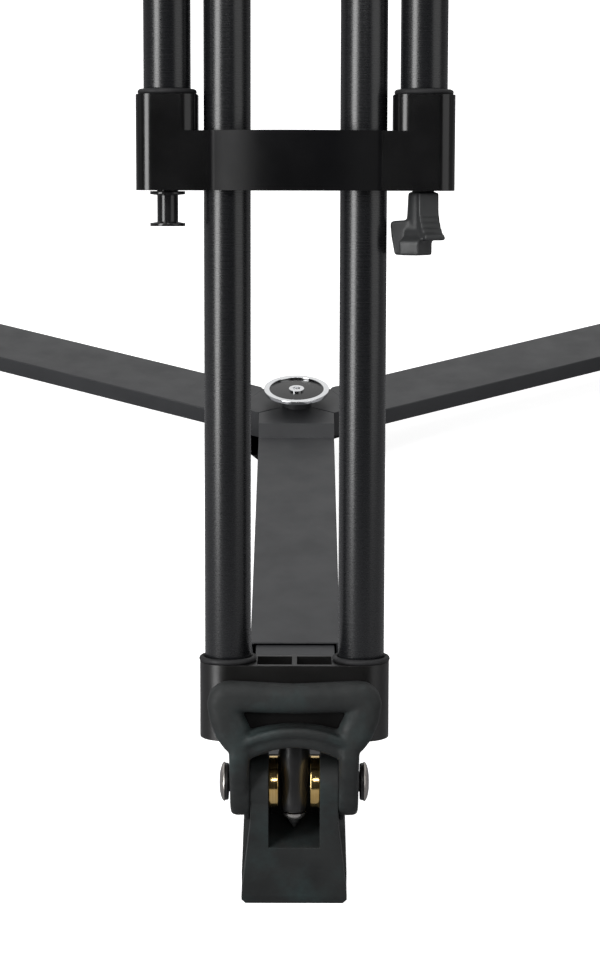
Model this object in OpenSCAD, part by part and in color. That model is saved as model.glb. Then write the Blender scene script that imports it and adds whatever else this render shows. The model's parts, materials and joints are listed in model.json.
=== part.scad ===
// Twin-tube tripod with a ground spreader, a 100 mm bowl and a fluid head.
// Origin: on the floor, on the tripod's centre line. +Z is up and leg 1 points to -Y.

/* [Leg] */
// Angle of a spread leg from the vertical, in degrees
lean = 19.7; // [18:0.1:21]
// Distance from the crown hinge to the foot axle, as set
leg_len = 930; // [900:5:960]
// Distance of each crown hinge from the centre line
hinge_r = 70; // [68:1:74]
// Height of the foot axle above the floor
axle_z = 50; // [49:0.5:52]
// Outside diameter of every leg tube
tube_d = 18; // [17:0.5:18]
// Distance between the two lower tubes' centres
lower_gap = 52; // [51:0.5:53]
// Distance between the two upper tubes' centres
upper_gap = 97.6; // [96:0.2:99]
// Length of lower tube that shows between the foot casting and the clamp
shown_len = 182.5; // [175:0.5:190]

/* [Clamp] */
// Height of the clamp's cross bar
bar_h = 22.4; // [20:0.2:24]
// How far the two sockets stand above the cross bar
socket_rise = 13.6; // [12:0.2:15]
// Outside width of a clamp socket
socket_d = 23.4; // [22.6:0.2:24]
// How far the bow in the cross bar's front face stands from the tubes' plane
bow = 20.5; // [18:0.5:21]

/* [Foot] */
// Height of the foot casting's lower face above the axle, along the leg
foot_low = 18.5; // [18:0.5:20]
// Height of the foot casting
foot_h = 30; // [28:0.5:32]
// Front to back depth of the foot casting
foot_d = 22; // [21.6:0.2:23]
// Diameter of the spike's collar
spike_d = 12.6; // [12:0.2:12.8]
// Width of the rubber shoe at its cheeks
shoe_w = 34.4; // [34:0.2:34.8]
// Width of the rubber shoe at its sole
sole_w = 42; // [41:0.5:43]
// Diameter of the brass bushes
bush_d = 20.5; // [19:0.5:21]
// Diameter of the domed bolt heads
bolt_head_d = 15.6; // [14:0.2:16]

/* [Spreader] */
// Width of a spreader arm
arm_w = 40.4; // [40:0.2:41]
// Thickness of a spreader arm
arm_h = 9.3; // [9:0.1:9.6]
// Height of the spreader arm's top face above the floor
arm_top = 32; // [31:0.5:32]
// Diameter of the round cap on the spreader hub
cap_d = 35.4; // [34:0.2:36]

/* [Head] */
// Diameter of the levelling bowl
bowl_d = 100; // [100:1:100]
// Length of the pan bar's tube
bar_len = 367.5; // [300:0.5:400]
// Length of the camera plate
plate_len = 110; // [100:1:120]

/* [Hidden] */
$fn = 64;
LEG_PARTS = ["upper_tubes", "top_casting", "clamp", "spool", "lock_knob", "lower_tubes", "foot_casting",
             "spike", "shoe", "shoe_bolts", "strap", "arm_bar", "arm_sleeve", "arm_pin"];
HEAD_PARTS = ["crown", "hinge_pins", "half_ball", "bowl_knob", "pan_body", "pan_lock", "tilt_body",
              "tilt_lock", "balance_dial", "drag_knob", "camera_plate", "camera_screw", "plate_lock",
              "pan_bar", "bar_grip", "bar_knob"];

press = 0.02;                 // radial gap of a fixed joint
run = 0.05;                   // radial gap of a running fit
gap = 0.4;                    // gap between faces that pass each other
over = 1;                     // how far a cutting tool runs past a face

foot_r = hinge_r + leg_len * sin(lean);
hinge_z = axle_z + leg_len * cos(lean);
tube_r = tube_d / 2;
foot_top = foot_low + foot_h;
clamp_low = foot_top + shown_len;
clamp_top = clamp_low + bar_h;
socket_top = clamp_top + socket_rise;
tube_end = 700;               // top of the lower tubes, along the leg
upper_wall = 1.6;
lower_wall = 1.3;
casting_low = leg_len - 52;   // lower face of the leg's top casting
casting_top = leg_len - 17;
lug_w = 46;                   // width of the crown's lug inside the casting's fork
ear_w = 12;                   // thickness of one ear of that fork
pin_r = 4;

pivot_in = 26;                // the arm's pivot, measured inward from the foot axle
pivot_z = arm_top - arm_h / 2;
sleeve_out = 246;             // outer end of the sleeve, from the centre line
stub_r = arm_top - 1;         // top edge of the hub's sloped end faces

rim_z = hinge_z + 22;         // top of the bowl
ball_r = bowl_d / 2 - 0.3;
bowl_r = bowl_d / 2;
bowl_out = bowl_r + 7;
flange_low = rim_z + 10;
flange_top = rim_z + 20;
pan_low = flange_top + 0.4;
pan_top = rim_z + 46;
tilt_z = rim_z + 92;
saddle_low = tilt_z + 26;
saddle_top = tilt_z + 40;
cheek_in = 27;                // inner and outer faces of the two tilt cheeks
cheek_out = 38;
bar_x = 49;                   // the pan bar's plane
bar_y = 44;
bar_z = tilt_z + 33;
bar_drop = 20;                // the pan bar's slope below level, in degrees
stud_d = 9.52;                // camera stud, 3/8 inch

// --- placing -------------------------------------------------------------

// Puts a part that is drawn along its leg, with the foot axle at the origin.
module at_leg(i) {
    rotate([0, 0, 120 * (i - 1)]) translate([0, -foot_r, axle_z]) rotate([-lean, 0, 0]) children();
}

// Puts a part that is drawn level under leg 1's foot axle, +Y towards the hub.
module at_foot(i) {
    rotate([0, 0, 120 * (i - 1)]) translate([0, -foot_r, 0]) children();
}

// Puts a part that is drawn along a spreader arm, +Y outwards from the hub.
module at_arm(i) {
    rotate([0, 0, 120 * (i - 1) + 180]) children();
}

module both_sides() {
    children();
    mirror([1, 0, 0]) children();
}

// Extrudes a side outline, drawn as (y, z), over a width along X.
module side(w, x = 0) {
    translate([x - w / 2, 0, 0]) rotate([90, 0, 90]) linear_extrude(w) children();
}

// A cylinder along +X from x.
module rod_x(r, len, x = 0) {
    translate([x, 0, 0]) rotate([0, 90, 0]) cylinder(r = r, h = len);
}

// A flat bar with round ends, centred, in the plane.
module stadium(len, d) {
    square([len - d, d], center = true);
    for (s = [-1, 1]) translate([s * (len - d) / 2, 0]) circle(d = d);
}

// A rectangle with round corners, in the plane.
module round_rect(w, h, r) {
    square([w - 2 * r, h], center = true);
    square([w, h - 2 * r], center = true);
    for (sx = [-1, 1], sy = [-1, 1]) translate([sx * (w / 2 - r), sy * (h / 2 - r)]) circle(r);
}

// --- leg -------------------------------------------------------------------

module tube_pair(spacing, wall, low, high) {
    for (s = [-1, 1]) translate([s * spacing / 2, 0, low]) difference() {
        cylinder(r = tube_r, h = high - low);
        translate([0, 0, -over]) cylinder(r = tube_r - wall, h = high - low + 2 * over);
    }
}

module upper_tubes(i) {
    color("#1d1e20") at_leg(i) tube_pair(upper_gap, upper_wall, clamp_low + 6, casting_low + 22);
}

module lower_tubes(i) {
    color("#1b1c1e") at_leg(i) tube_pair(lower_gap, lower_wall, foot_low + 6, tube_end);
}

module top_casting(i) {
    body_w = upper_gap + socket_d;
    ear_x = lug_w / 2 + gap + ear_w / 2;
    color("#17181a") at_leg(i) difference() {
        union() {
            translate([0, 0, casting_low]) linear_extrude(casting_top - casting_low)
                stadium(body_w, socket_d);
            for (s = [-1, 1]) {
                side(ear_w, s * ear_x) translate([0, leg_len]) circle(r = 11);
                side(ear_w, s * ear_x) translate([-11, casting_top - 2])
                    square([22, leg_len - casting_top + 2]);
            }
        }
        for (s = [-1, 1]) translate([s * upper_gap / 2, 0, casting_low - over])
            cylinder(r = tube_r + press, h = 23 + over);
        translate([0, 0, leg_len]) rod_x(pin_r + run, 100, -50);
        translate([-26, -7, casting_low - over]) cube([52, 14, 22]);
    }
}

// The cross bar's outline seen along the leg: level with the sockets' fronts, with a bow
// between the two lower tubes' outer sides.
module clamp_bar_outline() {
    half = upper_gap / 2;
    front = socket_d / 2;
    bow_half = 32.5;
    rise = bow - front;
    arc_r = (bow_half * bow_half + rise * rise) / (2 * rise);
    translate([-half, -front]) square([2 * half, 2 * front - 1]);
    intersection() {
        translate([0, arc_r - bow]) circle(r = arc_r, $fn = 256);
        translate([-bow_half, -bow - over]) square([2 * bow_half, bow + over]);
    }
}

module clamp(i) {
    socket_corner = 7;
    color("#101113") at_leg(i) difference() {
        union() {
            translate([0, 0, clamp_low]) linear_extrude(bar_h) clamp_bar_outline();
            for (s = [-1, 1]) translate([s * upper_gap / 2, 0, clamp_low])
                linear_extrude(socket_top - clamp_low) round_rect(socket_d, socket_d, socket_corner);
        }
        for (s = [-1, 1]) {
            translate([s * upper_gap / 2, 0, clamp_low + 6]) cylinder(r = tube_r + press, h = 60);
            translate([s * lower_gap / 2, 0, clamp_low - over]) cylinder(r = tube_r + run, h = 60);
            translate([s * upper_gap / 2, 0, clamp_low - over])
                cylinder(r = 4 + (s > 0 ? run : press), h = 8 + over);
        }
    }
}

module spool(i) {
    len = 13.6;
    color("#1a1b1e") at_leg(i) translate([-upper_gap / 2, 0, clamp_low]) rotate_extrude() polygon([
        [0, -len], [6.7, -len], [6.7, -len + 1.2], [4, -len + 1.6], [4, -1.8], [6.7, -1.5], [6.7, -0.3],
        [4, -0.3], [4, 5.5], [0, 5.5]]);
}

module lock_knob(i) {
    low = -24.4;
    color("#3c3e41") at_leg(i) translate([upper_gap / 2, 0, clamp_low]) {
        rotate_extrude() polygon([[0, low + 5], [8, low + 5], [6.6, -0.4], [4, -0.4], [4, 5.5], [0, 5.5]]);
        for (k = [0:2]) rotate([0, 0, 120 * k]) difference() {
            translate([0, -3.6, k == 2 ? low : low + 7]) cube([12.8, 7.2, 13]);
            translate([20, 0, low + 20]) rotate([90, 0, 0]) cylinder(r = 11.5, h = 20, center = true);
        }
    }
}

module foot_casting(i) {
    pocket_w = 13.5;
    color("#141517") at_leg(i) difference() {
        translate([0, 0, foot_low]) linear_extrude(foot_h) stadium(lower_gap + foot_d, foot_d);
        for (s = [-1, 1]) {
            translate([s * lower_gap / 2, 0, foot_low + 6]) cylinder(r = tube_r + press, h = foot_h);
            translate([s * (1 + pocket_w / 2) - pocket_w / 2, -8, foot_low + 14])
                cube([pocket_w, 16, foot_h]);
        }
        translate([0, 0, foot_low - over]) cylinder(r = 6 + press, h = 9 + over);
    }
}

module spike(i) {
    collar = spike_d / 2;
    color("#232426") at_leg(i) rotate_extrude() polygon([
        [0, -18.4], [0.6, -18.1], [2.8, -14.8], [3.9, -13.9], [4.6, -12.4], [5.2, -9.6], [5.7, -6],
        [collar - 0.2, 3], [collar, 8], [collar, foot_low - 0.3], [6, foot_low - 0.3], [6, foot_low + 7.5],
        [0, foot_low + 7.5]]);
}

// A wedge of rubber: a boss round the axle, a lug round the arm's pivot, and a sole that
// is wider than the cheeks.
module shoe(i) {
    window_w = 20.2;
    boss_r = 12;
    lug_r = 11;
    shoulder = 5.4;               // the step that the lifted arm comes to rest beside
    lug_reach = lug_r + 0.4;      // clears the lug itself
    flare_z = 38;
    fall = atan2(axle_z - pivot_z, pivot_in);
    out = [sin(fall), cos(fall)];
    color("#2f3433") at_foot(i) difference() {
        union() {
            side(sole_w) translate([0, axle_z]) circle(r = boss_r);
            side(sole_w) translate([pivot_in, pivot_z]) circle(r = lug_r);
            side(sole_w) polygon([
                [-12.3, 0], [-13.5, 4.5], [0.4 - boss_r, axle_z - 2], [-3, axle_z + 3],
                (boss_r - 0.4) * out + [0, axle_z], (lug_r - 0.4) * out + [pivot_in, pivot_z],
                [pivot_in + lug_r - 0.4, pivot_z - 2], [pivot_in + lug_r - 0.4, 0]]);
        }
        both_sides() {
            translate([0, -5, 0]) rotate([90, 0, 0]) linear_extrude(12) polygon([
                [sole_w / 2, 4], [shoe_w / 2, flare_z], [shoe_w / 2, 70], [sole_w, 70], [sole_w, 4]]);
            translate([0, 60, 0]) rotate([90, 0, 0]) linear_extrude(120) polygon([
                [sole_w / 2 - 1.6, -over], [sole_w / 2 + over, -over], [sole_w / 2 + over, 3.4],
                [sole_w / 2 - 1.6, 0]]);
            translate([shoe_w / 2, -5, 10]) cube([20, 60, 70]);
        }
        translate([-window_w / 2, -20, 27]) cube([window_w, 31.5, 50]);
        side(60) polygon(concat([for (a = [-4:6:116]) lug_reach * [cos(a), sin(a)] + [pivot_in, pivot_z]], [
            [pivot_in - shoulder, pivot_z + 40], [pivot_in + 40, pivot_z + 40], [pivot_in + 40, pivot_z - 0.8]]));
        translate([0, 0, axle_z]) rod_x(4 + press, 60, -30);
        translate([0, pivot_in, pivot_z]) rod_x(3 + run, 60, -30);
    }
}

// One domed bolt and its brass bush on each side of the shoe.
module shoe_bolts(i) {
    head_x = shoe_w / 2 + 8.6;
    dome = 3.7;
    dome_r = (bolt_head_d * bolt_head_d / 4 + dome * dome) / (2 * dome);
    dome_end = asin(bolt_head_d / 2 / dome_r);
    steps = 6;
    color("#b08d45") at_foot(i) translate([0, 0, axle_z]) both_sides() {
        rotate([0, 90, 0]) rotate_extrude() polygon(concat(
            [[0, head_x - 7.4], [4, head_x - 7.4], [4, head_x]],
            [for (k = [steps:-1:1]) dome_r * [sin(k * dome_end / steps), cos(k * dome_end / steps)]
                + [0, head_x + dome - dome_r]],
            [[0, head_x + dome]]));
        difference() {
            rod_x(bush_d / 2, 3.4, 6.65);
            rod_x(4 + press, 10, 5);
        }
    }
}

// The strap's pull loop seen from the front, x across and y up the leg.
module loop_outline() {
    arm = shoe_w / 2 + 8.2;
    difference() {
        union() {
            polygon([[-arm, 14], [-arm - 1, 18], [-32.6, 33], [-33, 35], [33, 35], [32.6, 33],
                     [arm + 1, 18], [arm, 14]]);
            for (s = [-1, 1]) translate([s * 25, 34.8]) circle(r = 8);
            translate([-25, 34]) square([50, 8.8]);
        }
        polygon([[-21, 31.5], [-17.6, 25.5], [-9, 27.4], [9, 27.4], [17.6, 25.5], [21, 31.5]]);
        translate([0, 0.5]) circle(r = 17.2);
    }
}

module strap(i) {
    inner = shoe_w / 2 + 0.4;
    thick = 7.8;
    color("#313736") at_leg(i) {
        difference() {
            union() {
                translate([0, -12, 0]) rotate([90, 0, 0]) linear_extrude(10.5) loop_outline();
                both_sides() {
                    rod_x(13.2, thick, inner);
                    side(thick, inner + thick / 2) polygon([
                        [-13.2, 0], [-13.6, 5], [-19, 13], [-22.5, 20], [-12, 22], [-11.8, foot_low - gap],
                        [-7, foot_low - gap], [-4, 16.4], [6, 12], [13, 2]]);
                }
            }
            rod_x(4 + run, 80, -40);
        }
    }
}

// --- spreader ----------------------------------------------------------------

module arm_bar(i) {
    plate = 2;
    bar_w = arm_w - 2 * (plate + 0.5);
    bar_t = arm_h - 2.8;
    web = 11.7;
    color("#55585c") at_foot(i) difference() {
        union() {
            both_sides() {
                side(plate, arm_w / 2 - plate / 2) translate([pivot_in, pivot_z]) circle(r = 11.4);
                translate([arm_w / 2 - plate, pivot_in, pivot_z - 4.6]) cube([plate, web + 3.6, 9.2]);
            }
            translate([-arm_w / 2, pivot_in + web, pivot_z - 4.6]) cube([arm_w, 3.6, 9.2]);
            translate([-bar_w / 2, pivot_in + web, pivot_z - bar_t / 2]) cube([bar_w, 162, bar_t]);
        }
        translate([0, pivot_in, pivot_z]) rod_x(3 + press, 60, -30);
    }
}

module arm_pin(i) {
    color("#8f9296") at_foot(i) translate([0, pivot_in, pivot_z]) {
        rod_x(3, arm_w + 1, -arm_w / 2 - 0.5);
        both_sides() rod_x(4.6, 1.2, arm_w / 2 + 0.2);
    }
}

// The arm's inner end is cut at 45 degrees so that it lifts clear of the hub's sloped face.
module arm_sleeve(i) {
    tip = stub_r + 0.5;
    low = pivot_z - arm_h / 2;
    corner = 3;
    color("#4b4e52") at_arm(i) difference() {
        intersection() {
            side(arm_w) polygon([
                [tip, arm_top], [sleeve_out, arm_top], [sleeve_out, low], [tip + arm_h, low]]);
            translate([0, 0, low - over]) linear_extrude(arm_h + 2 * over) polygon([
                [-arm_w / 2 + corner, tip - over], [arm_w / 2 - corner, tip - over], [arm_w / 2, tip + corner],
                [arm_w / 2, sleeve_out + over], [-arm_w / 2, sleeve_out + over], [-arm_w / 2, tip + corner]]);
        }
        translate([-arm_w / 2 + 2.1, 60, low + 1]) cube([arm_w - 4.2, sleeve_out - 60 + over, arm_h - 2]);
    }
}

module hub() {
    low = pivot_z - arm_h / 2;
    high = arm_top + 5.5;
    boss_top = 44.4;
    color("#46494d") difference() {
        union() {
            for (i = [1:3]) at_arm(i) side(arm_w) polygon([
                [-12, low], [stub_r + arm_top - low, low], [stub_r - (high - arm_top), high], [-12, high]]);
            translate([0, 0, low + 2]) cylinder(r = 8, h = boss_top - low - 2);
        }
        for (i = [1:3]) at_arm(i) rotate([0, 0, 60]) translate([-0.4, 10, high - 1]) cube([0.8, 20, 4]);
        translate([0, 0, 34]) cylinder(r = 3 + press, h = 20);
    }
}

module hub_cap() {
    color("#c9cccf") {
        difference() {
            translate([0, 0, 44.5]) cylinder(d = cap_d, h = 2);
            translate([0, 0, 45.7]) cylinder(d = cap_d - 6, h = 4);
        }
        translate([0, 0, 36]) cylinder(r = 3, h = 9);
        translate([0, 0, 45]) cylinder(r = 4.2, h = 1.6);
    }
}

// --- crown ----------------------------------------------------------------

module crown() {
    color("#191a1c") difference() {
        union() {
            translate([0, 0, hinge_z - 10]) cylinder(r = 62, h = rim_z - hinge_z + 10);
            intersection() {
                translate([0, 0, rim_z]) sphere(r = bowl_out, $fn = 128);
                translate([-80, -80, rim_z - 80]) cube([160, 160, 80]);
            }
            for (i = [1:3]) rotate([0, 0, 120 * (i - 1)]) {
                translate([0, -hinge_r, hinge_z]) rod_x(10, lug_w, -lug_w / 2);
                translate([-lug_w / 2, -hinge_r, hinge_z - 10]) cube([lug_w, hinge_r - 52, 20]);
            }
        }
        translate([0, 0, rim_z]) sphere(r = bowl_r, $fn = 128);
        translate([0, 0, rim_z - 90]) cylinder(r = 20, h = 60);
        for (i = [1:3]) rotate([0, 0, 120 * (i - 1)]) translate([0, -hinge_r, hinge_z])
            rod_x(pin_r + press, 100, -50);
    }
}

module hinge_pins() {
    len = lug_w + 2 * (gap + ear_w) + 3;
    color("#9a9da1") for (i = [1:3]) rotate([0, 0, 120 * (i - 1)]) translate([0, -hinge_r, hinge_z]) {
        rod_x(pin_r, len, -len / 2);
        for (s = [-1, 1]) rod_x(6.5, 2.4, s > 0 ? len / 2 - 1 : -len / 2 - 1.4);
    }
}

module half_ball() {
    color("#85888c") difference() {
        union() {
            intersection() {
                translate([0, 0, rim_z]) sphere(r = ball_r, $fn = 128);
                translate([-60, -60, rim_z - 40]) cube([120, 120, flange_low - rim_z + 40]);
            }
            translate([0, 0, flange_low - 1]) cylinder(r = 44, h = flange_top - flange_low + 1);
            translate([0, 0, rim_z - 122]) cylinder(r = 6, h = 90);
        }
        translate([0, 0, flange_top - 9]) cylinder(r = 15 + run, h = 20);
    }
}

module bowl_knob() {
    color("#1f2022") translate([0, 0, rim_z]) difference() {
        union() {
            translate([0, 0, -74]) cylinder(r = 26, h = 24);
            translate([0, 0, -116]) cylinder(r = 17, h = 44);
            for (k = [0:5]) rotate([0, 0, 60 * k]) translate([15.5, 0, -116]) cylinder(r = 4.5, h = 36);
        }
        sphere(r = bowl_out + 0.3, $fn = 128);
        translate([0, 0, -130]) cylinder(r = 6 + run, h = 90);
    }
}

// --- fluid head -------------------------------------------------------------

module pan_body() {
    color("#26282b") difference() {
        union() {
            translate([0, 0, pan_low]) cylinder(r = 42, h = pan_top - pan_low);
            translate([0, 0, flange_top - 8]) cylinder(r = 15, h = 12);
            for (s = [-1, 1]) {
                side(cheek_out - cheek_in, s * (cheek_in + cheek_out) / 2)
                    translate([0, tilt_z]) circle(r = 24);
                side(cheek_out - cheek_in, s * (cheek_in + cheek_out) / 2)
                    polygon([[-19, pan_top - 2], [19, pan_top - 2], [24, tilt_z], [-24, tilt_z]]);
            }
        }
        translate([0, 0, tilt_z]) rod_x(8 + run, 100, -50);
        translate([0, -14, rim_z + 58]) rod_x(3 + run, 20, -cheek_out - over);
        translate([0, -33, rim_z + 33]) rotate([90, 0, 0]) cylinder(r = 3 + run, h = 20);
    }
}

// A lever with a round hub on +X's far side, its arm along -Y, and a stub into the body.
module lever(reach) {
    rod_x(3, 8, 0.6);
    rod_x(6.5, 9, -9);
    side(4, -6) polygon([[-reach, -3], [-reach, 3], [0, 5], [0, -5]]);
    translate([-6 - 2, -reach, 0]) rotate([0, 90, 0]) cylinder(r = 4.5, h = 4);
}

module tilt_lock() {
    color("#2b2d30") translate([-cheek_out - 0.4, -14, rim_z + 58]) {
        lever(34);
        rod_x(3, 2, -0.5);
    }
}

module pan_lock() {
    color("#2b2d30") translate([0, -42.4, rim_z + 33]) rotate([0, 0, 90]) {
        lever(34);
        rod_x(3, 2, -0.5);
    }
}

module saddle_slot(grow) {
    polygon([[-21.6 - grow, saddle_top - 6 - grow], [21.6 + grow, saddle_top - 6 - grow],
             [19 + grow, saddle_top + over], [-19 - grow, saddle_top + over]]);
}

module tilt_body() {
    back = 55;
    front = -45;
    color("#2a2c2f") difference() {
        union() {
            translate([0, 0, tilt_z]) rod_x(22, 2 * cheek_in - 0.8, -cheek_in + gap);
            translate([0, 0, tilt_z]) rod_x(8, 2 * cheek_out - 0.4, -cheek_out + 0.2);
            translate([-24, -18, tilt_z + 8]) cube([48, 36, 20]);
            translate([0, (front + back) / 2, saddle_low]) linear_extrude(saddle_top - saddle_low)
                round_rect(62, back - front, 6);
            translate([0, bar_y, bar_z]) rod_x(6.9, 12, 30.6);
        }
        translate([0, back + over, 0]) rotate([90, 0, 0]) linear_extrude(back - front + 2 * over)
            saddle_slot(gap);
        translate([0, 0, tilt_z]) rod_x(5 + run, 200, -100);
        translate([0, bar_y, bar_z]) rod_x(4 + press, 24, 30);
        translate([0, 15, tilt_z + 30]) rod_x(3 + run, 10, -31 - over);
    }
}

module plate_lock() {
    color("#2b2d30") translate([-31.4, 15, tilt_z + 30]) mirror([0, 1, 0]) {
        lever(32);
        rod_x(3, 2, -0.5);
    }
}

module balance_dial() {
    color("#303236") translate([-cheek_out, 0, tilt_z]) {
        difference() {
            rod_x(19, 13, -13.4);
            for (k = [0:17]) rotate([20 * k, 0, 0]) translate([-14, 19.6, 0]) rod_x(1.6, 9);
        }
        rod_x(5, 12, -1);
    }
}

module drag_knob() {
    color("#303236") translate([cheek_out, 0, tilt_z]) {
        difference() {
            rod_x(21, 15, 0.4);
            for (k = [0:23]) rotate([15 * k, 0, 0]) translate([5, 21.8, 0]) rod_x(1.8, 14);
        }
        rod_x(5, 12, -11);
    }
}

module camera_plate() {
    color("#3a3c40") difference() {
        union() {
            translate([0, 0, saddle_top + gap]) linear_extrude(6) round_rect(50, plate_len, 4);
            translate([0, plate_len / 2, 0]) rotate([90, 0, 0]) linear_extrude(plate_len) saddle_slot(0);
        }
        translate([0, 0, saddle_top - 8]) cylinder(r = 5.2 + run, h = 20);
        translate([0, 0, saddle_top - 8]) cylinder(r = 9, h = 6);
    }
}

module camera_screw() {
    top = saddle_top + gap + 6;
    color("#c4c7ca") {
        translate([0, 0, saddle_top - 5.6]) cylinder(r = 8.4, h = 3.2);
        translate([0, 0, saddle_top - 3]) cylinder(r = 5.2, h = top - saddle_top + 3);
        translate([0, 0, top - over]) cylinder(d = stud_d, h = 11 + over);
    }
}

module at_pan_bar() {
    translate([bar_x, bar_y, bar_z]) rotate([-bar_drop, 0, 0]) children();
}

module pan_bar() {
    root = 8.8;                   // clears the knob and the tilt body's round boss
    color("#2d2f33") difference() {
        union() {
            at_pan_bar() rod_x(15, 11.6, -6);
            at_pan_bar() translate([0, root, 0]) rotate([-90, 0, 0]) cylinder(r = 8, h = bar_len - root);
        }
        at_pan_bar() rod_x(4 + run, 40, -20);
    }
}

module bar_grip() {
    color("#161718") at_pan_bar() translate([0, bar_len - 118, 0]) rotate([-90, 0, 0]) difference() {
        cylinder(r = 14, h = 124);
        translate([0, 0, -over]) cylinder(r = 8 + press, h = 118.5 + over);
    }
}

module bar_knob() {
    color("#303236") at_pan_bar() {
        rod_x(4, 22, -15);
        rod_x(8, 16, 6);
        for (k = [0:2]) rotate([120 * k, 0, 0]) translate([9, -3.5, 0]) cube([13, 7, 15]);
    }
}

// --- the assembly -----------------------------------------------------------

for (i = [1:3]) {
    upper_tubes(i);
    top_casting(i);
    clamp(i);
    spool(i);
    lock_knob(i);
    lower_tubes(i);
    foot_casting(i);
    spike(i);
    shoe(i);
    shoe_bolts(i);
    strap(i);
    arm_bar(i);
    arm_sleeve(i);
    arm_pin(i);
}
hub();
hub_cap();
crown();
hinge_pins();
half_ball();
bowl_knob();
pan_body();
pan_lock();
tilt_body();
tilt_lock();
balance_dial();
drag_knob();
camera_plate();
camera_screw();
plate_lock();
pan_bar();
bar_grip();
bar_knob();
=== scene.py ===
import json
import math

import bmesh
import bpy
from mathutils import Matrix, Vector


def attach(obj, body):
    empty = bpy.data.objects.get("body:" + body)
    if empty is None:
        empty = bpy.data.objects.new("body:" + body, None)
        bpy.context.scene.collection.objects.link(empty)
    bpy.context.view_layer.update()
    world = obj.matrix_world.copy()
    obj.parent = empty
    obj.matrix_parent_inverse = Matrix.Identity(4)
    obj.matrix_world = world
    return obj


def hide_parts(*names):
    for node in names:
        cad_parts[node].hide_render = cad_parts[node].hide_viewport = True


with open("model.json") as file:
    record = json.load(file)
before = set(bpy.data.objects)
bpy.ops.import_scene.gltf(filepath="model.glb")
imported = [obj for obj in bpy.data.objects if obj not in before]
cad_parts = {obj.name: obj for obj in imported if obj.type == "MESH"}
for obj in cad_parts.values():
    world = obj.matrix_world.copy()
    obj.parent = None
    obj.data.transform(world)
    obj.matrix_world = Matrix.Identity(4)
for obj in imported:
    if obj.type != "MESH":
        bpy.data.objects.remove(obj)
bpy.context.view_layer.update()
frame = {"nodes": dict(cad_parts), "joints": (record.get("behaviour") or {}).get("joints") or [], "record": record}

MM = 0.001
LEGS = (1, 2, 3)
JOINTS = {joint["name"]: joint for joint in frame["joints"]}
BODIES = frame["record"]["behaviour"]["bodies"]
NODE_BODY = {node: body for body, nodes in BODIES.items() for node in nodes}
NODE_SLOT = {part["node"]: part["material_slot"] for part in frame["record"]["subparts"]}


# --- places ---------------------------------------------------------------

def place(across, up, origin):
    """A matrix from local millimetres to metres: X across, Z up, at origin."""
    x = Vector(across).normalized()
    z = Vector(up).normalized()
    turn = Matrix((x, z.cross(x), z)).transposed().to_4x4()
    return Matrix.Translation(Vector(origin)) @ turn @ Matrix.Scale(MM, 4)


def across_leg(i):
    return -Vector(JOINTS[f"leg_fold_{i}"]["axis"])


def up_leg(i):
    return -Vector(JOINTS[f"leg_extend_{i}"]["axis"])


def leg_place(i):
    """Leg i's own frame: the foot axle is the origin, +Z runs up the leg, -Y faces outwards."""
    return place(across_leg(i), up_leg(i), JOINTS[f"shoe_level_{i}"]["pos_m"])


def foot_place(i):
    """The level frame on the floor below leg i's foot axle, +Y towards the hub."""
    x, y, _ = JOINTS[f"shoe_level_{i}"]["pos_m"]
    return place(across_leg(i), (0, 0, 1), (x, y, 0))


def local_span(node, where):
    """The lowest and highest corners of a CAD node in a local frame, in millimetres."""
    back = where.inverted()
    points = [back @ v.co for v in frame["nodes"][node].data.vertices]
    low = Vector([min(p[k] for p in points) for k in range(3)])
    high = Vector([max(p[k] for p in points) for k in range(3)])
    return low, high


# --- material nodes ---------------------------------------------------------

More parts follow.
